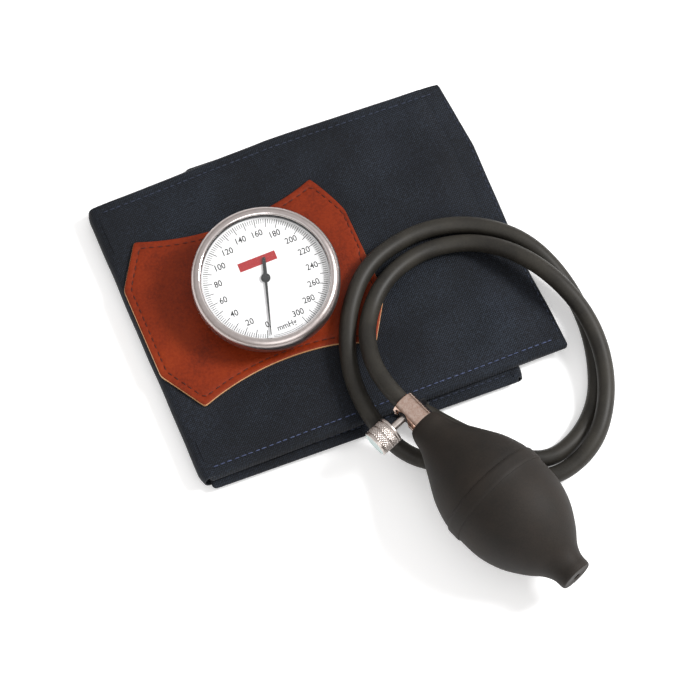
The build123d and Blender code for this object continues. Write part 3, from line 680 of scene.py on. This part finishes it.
def patch_outline(inset=0.0):
    """Points round the patch, with its edge moved inwards and its corners slightly rounded."""
    rise = PATCH_TOP - PATCH_HOLLOW
    radius = (PATCH_IN**2 + rise**2) / (2 * rise)
    lean = math.atan2(PATCH_TOP - PATCH_SIDE, PATCH_OUT - PATCH_IN)
    slope = math.asin(PATCH_IN / radius)
    side_in, slant_in = Vector((-1, 0)), Vector((-math.sin(lean), -math.cos(lean)))
    arc_in = Vector((math.sin(slope), -math.cos(slope)))
    outer = Vector((PATCH_OUT, PATCH_SIDE)) + (side_in + slant_in) * inset / (1 + side_in.dot(slant_in))
    peak = Vector((PATCH_IN, PATCH_TOP)) + (slant_in + arc_in) * inset / (1 + slant_in.dot(arc_in))
    deep = radius + inset

    def hollow(x):
        return PATCH_HOLLOW + radius - math.sqrt(deep**2 - x**2)

    half = [(outer.x, y) for y in np.linspace(-outer.y, outer.y, 45)[:-1]]
    half += [tuple(outer.lerp(peak, share)) for share in np.linspace(0, 1, 25)[:-1]]
    drop = peak.y - hollow(peak.x)
    for share in np.linspace(1, -1, 88)[:-1]:
        x = peak.x * share
        half.append((x, hollow(x) + drop * share * share))
    slant = [tuple(peak.lerp(outer, share)) for share in np.linspace(0, 1, 25)[:-1]]
    half += [(-x, y) for x, y in slant]
    ring = np.array(half + [(-x, -y) for x, y in half])
    share = np.clip((ring[:, 0] - PATCH_CUT_FROM) / (PATCH_OUT - PATCH_CUT_FROM), 0, 1)
    ring[:, 0] -= PATCH_RIGHT_CUT * np.where(ring[:, 1] > 0, share**4, np.minimum(1, share / 0.6))
    for _ in range(2):
        ring = (np.roll(ring, 1, 0) + 2 * ring + np.roll(ring, -1, 0)) / 4
    return ring + (PATCH_X, PATCH_Y)


PATCH_RING = patch_outline()


def inside_patch(x, y):
    """Signed distance in from the patch's outline, negative outside it."""
    x, y = np.asarray(x, float), np.asarray(y, float)
    near = np.full(x.shape, 1e9)
    crossings = np.zeros(x.shape, int)
    for (ax, ay), (bx, by) in zip(PATCH_RING, np.roll(PATCH_RING, -1, 0)):
        dx, dy = bx - ax, by - ay
        t = np.clip(((x - ax) * dx + (y - ay) * dy) / (dx * dx + dy * dy), 0, 1)
        near = np.minimum(near, np.hypot(x - ax - t * dx, y - ay - t * dy))
        crossings += ((ay > y) != (by > y)) & (x < ax + dx * (y - ay) / (dy if dy else 1e-9))
    return np.where(crossings % 2 == 1, near, -near)


def add_patch():
    low = TOP_LEAF_Z[1]
    high = low + LEATHER_T
    centre = np.array((GAUGE_X, GAUGE_Y))
    angle = np.arctan2(*(PATCH_RING - centre).T[::-1])
    hole = centre + GAUGE_HOLE_R * np.stack([np.cos(angle), np.sin(angle)], -1)
    rings = [(patch_outline(d), z) for d, z in (
        (0.25, low), (0.0, low + 0.15), (0.0, high - 0.55), (0.12, high - 0.22), (0.4, high - 0.06),
        (0.9, high), (2.2, high), (2.7, high - 0.1), (PATCH_SEAM, high - 0.2), (3.3, high - 0.1),
        (3.8, high), (PATCH_RIM, high + 0.02))]
    inner = patch_outline(PATCH_RIM)
    for share in (0.15, 0.35, 0.6, 0.8, 0.94, 1.0):
        rings.append((inner * (1 - share) + hole * share, high))
    rings += [(hole, low), (inner * 0.5 + hole * 0.5, low), (inner, low)]
    points, faces = [], []
    for ring, z in rings:
        for x, y in ring:
            points.append((x, y, z))
    count = len(PATCH_RING)
    for k in range(len(rings)):
        after = (k + 1) % len(rings)
        for i in range(count):
            j = (i + 1) % count
            faces.append((k * count + i, k * count + j, after * count + j, after * count + i))
    patch = mesh_piece("leather_patch_cover", points, faces, [LEATHER, CUT_EDGE], CUFF_PLACE, 60)
    for face in patch.data.polygons:
        place = face.center.z / MM
        if low + 0.05 < place < high - 0.3:
            face.material_index = 1
    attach(patch, "cuff")
    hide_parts("leather_patch")
    seam = patch_outline(PATCH_SEAM)
    stitches("patch_stitches", np.vstack([seam, seam[:1]]), lambda x, y: high - 0.16, CUFF_PLACE, THREAD_DARK,
             3.6, 2.3, 0.24, "cuff")


# ---------------------------------------------------------------- cuff
COVER_PITCH = 3.0
COVER_X, COVER_Y = (-76.5, 79.6), (-60.0, 66.1)
SLACK = 1.004  # length of the cloth against the length it covers
STRETCH_STIFF, BEND_STIFF = 0.42, 0.12
COVER_STEPS, COVER_ROUNDS = 260, 6
COVER_LIMITS = (-0.6, 1.6)
COVER_LINKS = ((1, 0), (0, 1), (1, 1), (1, -1), (2, 0), (0, 2))  # grid steps to the points tied to each one


def slack_cover():
    """Heights of a sheet cut a little too large that is held at its hems and under the patch."""
    pitch = COVER_PITCH
    xs, ys = np.arange(*COVER_X, pitch), np.arange(*COVER_Y, pitch)
    grid_x, grid_y = np.meshgrid(xs, ys, indexing="ij")
    rows, columns = grid_x.shape
    held = inside_patch(grid_x, grid_y) > -1.0
    held[[0, -1], :] = True
    held[:, [0, -1]] = True
    points = np.stack([grid_x, grid_y, np.zeros_like(grid_x)], -1).reshape(-1, 3)
    for point in points:
        px, py = point[:2]
        at = Vector((px * 0.03 + py * 0.022 + 3.1, py * 0.06 - px * 0.02, 0.4))
        point[2] = 0.9 * noise.noise(at)
    points[held.reshape(-1), 2] = 0.0
    links = []
    for di, dj in COVER_LINKS:
        for i in range(rows - di):
            for j in range(max(0, -dj), columns - max(0, dj)):
                links.append((i * columns + j, (i + di) * columns + j + dj))
    first, second = np.array(links).T
    rest = np.linalg.norm(points[first, :2] - points[second, :2], axis=1) * SLACK
    bend = (rest > 1.9 * pitch) & (rest < 2.1 * pitch)
    stiff = np.where(bend, BEND_STIFF, STRETCH_STIFF)
    fixed = held.reshape(-1)
    home = points.copy()
    speed = np.zeros_like(points)
    share = np.bincount(np.concatenate([first, second]), minlength=len(points))[:, None]
    for _ in range(COVER_STEPS):
        speed = speed * 0.9 + (0, 0, 0.0002)
        moved = points + speed
        for _ in range(COVER_ROUNDS):
            gap = moved[second] - moved[first]
            length = np.linalg.norm(gap, axis=1)
            pull = gap * (stiff * (length - rest) / np.maximum(length, 1e-9) / 2)[:, None]
            change = np.zeros_like(moved)
            for axis in range(3):
                change[:, axis] += np.bincount(first, pull[:, axis], minlength=len(moved))
                change[:, axis] -= np.bincount(second, pull[:, axis], minlength=len(moved))
            moved += change * 2.4 / share
            moved[fixed] = home[fixed]
        speed, points = moved - points, moved
    heights = np.clip(points[:, 2], *COVER_LIMITS).reshape(rows, columns)
    for _ in range(3):
        padded = np.pad(heights, 1, mode="edge")
        beside = padded[:-2, 1:-1] + padded[2:, 1:-1] + padded[1:-1, :-2] + padded[1:-1, 2:]
        heights = (beside + 2 * heights) / 6
    return xs, ys, heights


def sampled(xs, ys, heights):
    """Smooth lookup in a regular grid of heights."""
    def at(x, y):
        i = np.clip((np.asarray(x, float) - xs[0]) / (xs[1] - xs[0]), 0, len(xs) - 1.001)
        j = np.clip((np.asarray(y, float) - ys[0]) / (ys[1] - ys[0]), 0, len(ys) - 1.001)
        i0, j0 = i.astype(int), j.astype(int)
        s, t = i - i0, j - j0
        s, t = s * s * (3 - 2 * s), t * t * (3 - 2 * t)
        low = heights[i0, j0] * (1 - t) + heights[i0, j0 + 1] * t
        high = heights[i0 + 1, j0] * (1 - t) + heights[i0 + 1, j0 + 1] * t
        return low * (1 - s) + high * s
    return at


COVER = sampled(*slack_cover())
BOW_RIGHT = side_profile((0, 0.6), (0.13, 0.4), (0.3, -0.6), (0.55, 1.0), (0.75, 2.2), (1, 0))
BOW_REAR = side_profile((0, -1.3), (0.5, 1.5), (1, -1.0))


def top_bow(x, y):
    u = (x - TOP_LEAF_X[0]) / (TOP_LEAF_X[1] - TOP_LEAF_X[0])
    v = (y - TOP_LEAF_Y[0]) / (TOP_LEAF_Y[1] - TOP_LEAF_Y[0])
    near_right = np.clip((u - 0.6) / 0.4, 0, 1) ** 2
    near_rear = np.clip((v - 0.55) / 0.45, 0, 1) ** 2
    return x + BOW_RIGHT(v) * near_right, y + BOW_REAR(u) * near_rear


PRESS_REACH = 5.0  # distance from the patch over which the cloth rises to its own swell
PRESS_DEPTH, HIDDEN_DEPTH = 0.12, 0.5  # depth of the cloth at the patch's edge, and under the patch
HIDDEN_FROM = 0.3


def top_relief(x, y):
    """Soft swell of the cloth, pressed flat under the patch."""
    inward = inside_patch(x, y)
    pressed = np.clip((inward + PRESS_REACH) / PRESS_REACH, 0, 1)
    beside = COVER(x, y) * (1 - pressed) - PRESS_DEPTH * pressed
    return np.where(inward > HIDDEN_FROM, -HIDDEN_DEPTH, beside)


def turned_place(at, turn):
    """Matrix of a millimetre frame at a point of the cuff's frame, turned about the vertical."""
    return Matrix.Translation(on_cuff(*at)) @ Matrix.Rotation(turn, 4, "Z") @ Matrix.Scale(MM, 4)


FOLD_ARM = 2.4  # how far each arm of a fold reaches in over the leaf beside it
FOLD_WALL = 0.7
FOLD_STEPS = 28


def fold_strip(name, axis_at, turn, radius, span, outward):
    """Half tube of cloth round a crease. axis_at is the crease's front end in the cuff's frame."""
    steps, stations = FOLD_STEPS, np.linspace(0, span, 71)
    points, faces = [], []
    for y in stations:
        sway = 1 + 0.025 * math.sin(y * 0.09 + 1.0) + 0.02 * math.sin(y * 0.23)
        slim = 1 - 0.3 * max(0.0, 1 - min(y, span - y) / 5.0) ** 2
        for shell in (radius, radius - FOLD_WALL):
            for step in range(steps + 1):
                angle = math.pi / 2 - math.pi * (step - 1) / (steps - 2)
                out = shell * math.cos(angle) * sway * slim * outward
                if step in (0, steps):
                    angle, out = math.copysign(math.pi / 2, steps / 2 - step), -FOLD_ARM * outward
                points.append((out, y, shell * math.sin(angle)))
    ring = 2 * (steps + 1)
    order = list(range(steps + 1)) + list(range(ring - 1, steps, -1))
    for k in range(len(stations) - 1):
        for a, b in zip(order, order[1:] + order[:1]):
            here, after = k * ring, k * ring + ring
            faces.append((here + a, here + b, after + b, after + a))
    for base in (0, (len(stations) - 1) * ring):
        for step in range(steps):
            a, b = base + step, base + step + 1
            faces.append((a, b, b + steps + 1, a + steps + 1))
    return mesh_piece(name, points, faces, NYLON, turned_place(axis_at, turn), 50)


HEM_PITCH, HEM_STITCH, HEM_THREAD_R = 3.1, 2.2, 0.24


def add_cuff():
    sides = (PLAIN, RIGHT_HEM, FRONT_HEM, REAR_HEM)
    top = Leaf(CUFF_PLACE, TOP_LEAF_X, TOP_LEAF_Y, TOP_LEAF_Z, 1.6, sides, top_relief, top_bow)
    cover = top.mesh("cuff_top_cloth", NYLON)
    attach(cover, "cuff")
    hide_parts("cuff_outer_panel", "cuff_inner_panel", "hem_binding")

    def line(x0, y0, x1, y1):
        x, y = np.linspace(x0, x1, 40), np.linspace(y0, y1, 40)
        return np.stack(top_bow(x, y), -1)

    def height(x, y):
        back_x, back_y = top_bow(x, y)
        return top.height(2 * x - back_x, 2 * y - back_y)

    # The rear and right hems take the darkened thread, which is painted shade.
    for name, ends, thread, length, radius in (
        ("rear_hem_stitches", (-78, 67.5, 80, 67.5), THREAD_PAINTED_SHADE, HEM_STITCH, HEM_THREAD_R),
        ("front_hem_stitches", (-78, -63.3, 80, -63.3), THREAD, HEM_STITCH, HEM_THREAD_R),
        ("right_hem_stitches", (80.9, -62, 80.9, 66), THREAD_PAINTED_SHADE, 2.0, 0.22),
    ):
        stitches(name, line(*ends), height, CUFF_PLACE, thread, HEM_PITCH, length, radius, "cuff")

    lower = (LOWER_END, LOWER_END, LOWER_HEM, LOWER_HEM)
    middle_place = turned_place((-8.9, -1.5), LEAF_TURN)
    middle_leaf = Leaf(middle_place, (-68.9, 68.9), (-70.5, 70.5), (3.1, 5.1), 2.0, lower)
    middle = middle_leaf.mesh("cuff_middle_cloth", NYLON)
    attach(middle, "middle")
    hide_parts("middle_leaf")
    hem = [(-67, -66.2), (67, -66.2)]
    # Darkened thread: painted shade.
    stitches("middle_hem_stitches", hem, middle_leaf.height, middle_leaf.place, THREAD_PAINTED_SHADE,
             HEM_PITCH, HEM_STITCH, HEM_THREAD_R, "middle")

    tail_leaf = Leaf(turned_place((11, 4), LEAF_TURN), (-48.5, 48.5), (-72, 72), (0.6, 2.2), 3.0, lower)
    tail = tail_leaf.mesh("cuff_tail_cloth", NYLON)
    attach(tail, "tail")
    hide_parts("tail_leaf")
    hem = [(-46, -67.7), (46, -67.7)]
    # Darkened thread: painted shade.
    stitches("tail_hem_stitches", hem, tail_leaf.height, tail_leaf.place, THREAD_PAINTED_SHADE,
             HEM_PITCH, HEM_STITCH, 0.2, "tail")

    left = fold_strip("left_fold_cloth", (-79.5, -67.6, 6.45), 0.0, 3.75, 137.4, -1)
    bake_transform(left)
    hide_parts("left_fold")
    turn = Matrix.Rotation(LEAF_TURN, 4, "Z")
    corner = Vector((-8.9, -1.5, 0)) + turn @ Vector((68.9, 1.5 - 70.5, 0))
    right = fold_strip("right_fold_cloth", (corner.x, corner.y, 2.6), LEAF_TURN, 2.5, 138.0, 1)
    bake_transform(right)
    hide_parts("right_fold")


add_cuff()
add_patch()

# ---------------------------------------------------------------- gauge
DIAL_TOP = 15.7
PRINT_LOW, PRINT_HIGH = DIAL_TOP + 0.002, DIAL_TOP + 0.03
DIAL_ZERO, DIAL_STEP = 250.0, 320.0 / 300.0  # direction of 0 on the dial, and degrees clockwise per unit
DIAL_END = 300
FIGURES_R, FIGURES_H = 20.2, 2.7
MARK_OUTER_R = 26.4
LONG_MARK, SHORT_MARK = (22.8, 0.3), (24.4, 0.2)  # inner radius and width of a mark


def dial_angle(value):
    return math.radians(DIAL_ZERO - DIAL_STEP * value)


def print_box(points, faces, corners):
    """Adds a thin printed shape with these (x, y) corners to a mesh."""
    base, count = len(points), len(corners)
    points += [(x, y, z) for z in (PRINT_LOW, PRINT_HIGH) for x, y in corners]
    faces.append([base + k for k in range(count - 1, -1, -1)])
    faces.append([base + count + k for k in range(count)])
    for k in range(count):
        after = (k + 1) % count
        faces.append((base + k, base + after, base + count + after, base + count + k))


def print_ray(points, faces, angle, inner, outer, width):
    along = Vector((math.cos(angle), math.sin(angle)))
    side = Vector((-along.y, along.x)) * width / 2
    near, far = along * inner, along * outer
    print_box(points, faces, [near - side, far - side, far + side, near + side])


def print_arc(points, faces, radius, width, start, end):
    angles = [math.radians(a) for a in np.linspace(start, end, 40)]
    for first, second in zip(angles, angles[1:]):
        corners = [(radius + width / 2, first), (radius + width / 2, second)]
        corners += [(radius - width / 2, second), (radius - width / 2, first)]
        print_box(points, faces, [(r * math.cos(a), r * math.sin(a)) for r, a in corners])


def print_word(points, faces, word, centre, height):
    """Adds upright figures or letters to a mesh, centred on a point of the dial."""
    data = bpy.data.curves.new("dial_word", "FONT")
    data.body = word
    data.align_x = "CENTER"
    data.size = height * 1.42
    data.extrude = 0.014
    data.offset = 0.05
    data.resolution_u = 4
    letters = bpy.data.objects.new("dial_word", data)
    bpy.context.scene.collection.objects.link(letters)
    bpy.context.view_layer.update()
    evaluated = letters.evaluated_get(bpy.context.evaluated_depsgraph_get())
    mesh = bpy.data.meshes.new_from_object(evaluated)
    base = len(points)
    for vertex in mesh.vertices:
        x, y, z = vertex.co
        points.append((centre[0] + x * 0.9, centre[1] + y - height / 2, DIAL_TOP + 0.016 + z))
    faces += [[base + k for k in polygon.vertices] for polygon in mesh.polygons]
    bpy.data.objects.remove(letters)
    bpy.data.curves.remove(data)
    bpy.data.meshes.remove(mesh)


def printed(name, points, faces, material):
    """The print as a flat-shaded piece on the dial."""
    piece = mesh_piece(name, points, faces, material, GAUGE)
    for face in piece.data.polygons:
        face.use_smooth = False
    return piece


BEZEL = [(28.65, 11.6), (30.6, 11.6), (31.2, 11.9), (31.5, 12.6), (31.5, 16.4), (31.35, 17.2), (30.9, 18.0),
         (30.3, 18.75), (29.6, 19.25), (28.8, 19.55), (28.0, 19.5), (27.5, 19.2), (27.25, 18.85),
         (28.65, 18.85)]
BEZEL_LIP_R, BEZEL_SKIRT = 28.2, 12.8  # bright chrome inside this radius and below this height


def add_gauge():
    # The satin band between the bright lip and skirt is darker and pinkish, which is painted reflection. Its
    # roughness is the real finish.
    ring = lathe("bezel_ring", GAUGE, BEZEL, [SATIN_CHROME_PAINTED_REFLECTION, CHROME], 192, closed=True, sharp_deg=50)
    to_local = GAUGE.inverted()
    for face in ring.data.polygons:
        place = to_local @ face.center
        if math.hypot(place.x, place.y) < BEZEL_LIP_R or place.z < BEZEL_SKIRT:
            face.material_index = 1
    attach(ring, "cuff")
    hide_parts("gauge_bezel")

    points, faces = [], []
    for value in range(0, DIAL_END + 1, 2):
        inner, width = SHORT_MARK if value % 10 else LONG_MARK
        print_ray(points, faces, dial_angle(value), inner, MARK_OUTER_R, width)
    for value in range(0, DIAL_END + 1, 20):
        angle = dial_angle(value)
        centre = (FIGURES_R * math.cos(angle), FIGURES_R * math.sin(angle))
        print_word(points, faces, str(value), centre, FIGURES_H)
    print_word(points, faces, "mmHg", (0.6, -22.2), 2.5)
    print_arc(points, faces, 25.3, 0.16, 256, 286)
    print_arc(points, faces, 26.0, 0.16, 256, 286)
    figures = printed("dial_figures", points, faces, PRINT_GREY)
    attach(figures, "cuff")

    points, faces = [], []
    print_box(points, faces, [(-8.9, 6.35), (7.9, 6.35), (7.9, 10.25), (-8.9, 10.25)])
    bar = printed("dial_red_bar", points, faces, PRINT_RED)
    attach(bar, "cuff")


add_gauge()

# ---------------------------------------------------------------- release knob
KNOB_R = 6.0
KNOB_END = 20.9
KNURL_BANDS = ((13.0, 15.7), (16.2, 19.4))
KNURL_COUNT, KNURL_PITCH, KNURL_DEPTH, KNURL_FADE = 30, 1.15, 0.32, 0.3
END_PLATE_Z, END_PLATE_R = 20.7, 5.4


def knurled(radius, height, angle):
    """Radius of the knob with a diamond pattern cut into its two bands."""
    for low, high in KNURL_BANDS:
        if low < height < high:
            turn = KNURL_COUNT * angle / 2
            slope = height * math.pi / KNURL_PITCH
            cut = abs(math.sin(turn + slope)) * abs(math.sin(turn - slope))
            fade = min(1.0, (height - low) / KNURL_FADE, (high - height) / KNURL_FADE)
            return radius - KNURL_DEPTH * (1 - cut ** 0.6) * fade
    return radius


def add_knob():
    outline = [(0, 2.6), (1.6, 2.6), (1.6, 10.9), (1.7, 11.0), (5.4, 11.0), (5.85, 11.15), (6.0, 11.4),
               (6.0, 12.0), (5.85, 12.2), (5.35, 12.3), (5.35, 12.75), (5.8, 12.9)]
    for low, high in KNURL_BANDS:
        outline += [(KNOB_R, h) for h in np.linspace(low, high, round((high - low) / 0.14) + 1)]
        outline += [(5.55, high + 0.08), (5.55, high + 0.38)]
    outline += [(5.95, 19.9), (5.98, 20.3), (5.8, 20.65), (5.3, KNOB_END), (4.9, KNOB_END), (4.8, 20.8),
                (0, 20.8)]
    knob = lathe("knurled_knob", KNOB, outline, [NICKEL, NICKEL_END], 240, sharp_deg=32, radius_at=knurled)
    to_local = KNOB.inverted()
    for face in knob.data.polygons:
        place = to_local @ face.center
        if place.z > END_PLATE_Z and math.hypot(place.x, place.y) < END_PLATE_R:
            face.material_index = 1
    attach(knob, "knob")
    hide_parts("release_knob")


add_knob()

# ---------------------------------------------------------------- bulb
BULB_OUTSIDE = [(6.6, 0.0), (7.4, 1.4), (8.15, 3.4), (9.7, 9.0), (14.6, 18.0), (19.8, 27.5), (22.5, 35.5),
                (23.0, 38.9)]
BULB_RIB = [(23.35, 39.2), (23.72, 39.6), (23.8, 42.3), (23.78, 45.0), (23.4, 45.4)]
BULB_TAIL = [(23.3, 46.0), (22.8, 56.0), (19.8, 66.0), (14.4, 75.0), (9.8, 80.6), (7.7, 85.0), (7.4, 88.6),
             (7.25, 89.8), (6.8, 90.4)]
BULB_HOLE = [(1.9, 90.5), (1.6, 90.3), (1.6, 88.5), (4.5, 88.5)]
BULB_INSIDE = [(4.5, 78.2), (11.4, 74.8), (17.4, 66.0), (20.4, 56.0), (21.1, 44.0), (20.1, 35.5),
               (17.3, 27.5), (12.2, 18.0), (7.3, 11.0), (4.95, 9.8)]


def uneven(radius, height, angle):
    """Radius of the moulded rubber, a little out of round where it is wide."""
    return radius * (1 + 0.004 * math.sin(2 * angle + height * 0.05)) if radius > 9 else radius


def add_bulb():
    outline = rounded(BULB_OUTSIDE) + rounded(BULB_RIB, 2) + rounded(BULB_TAIL) + BULB_HOLE
    outline += rounded(BULB_INSIDE, 3) + [(4.95, 0.0)]
    bulb = lathe("squeeze_bulb", BULB, outline, BULB_RUBBER, 144, closed=True, sharp_deg=45, radius_at=uneven)
    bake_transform(bulb)
    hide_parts("bulb", "bulb_thumb_wall")


add_bulb()
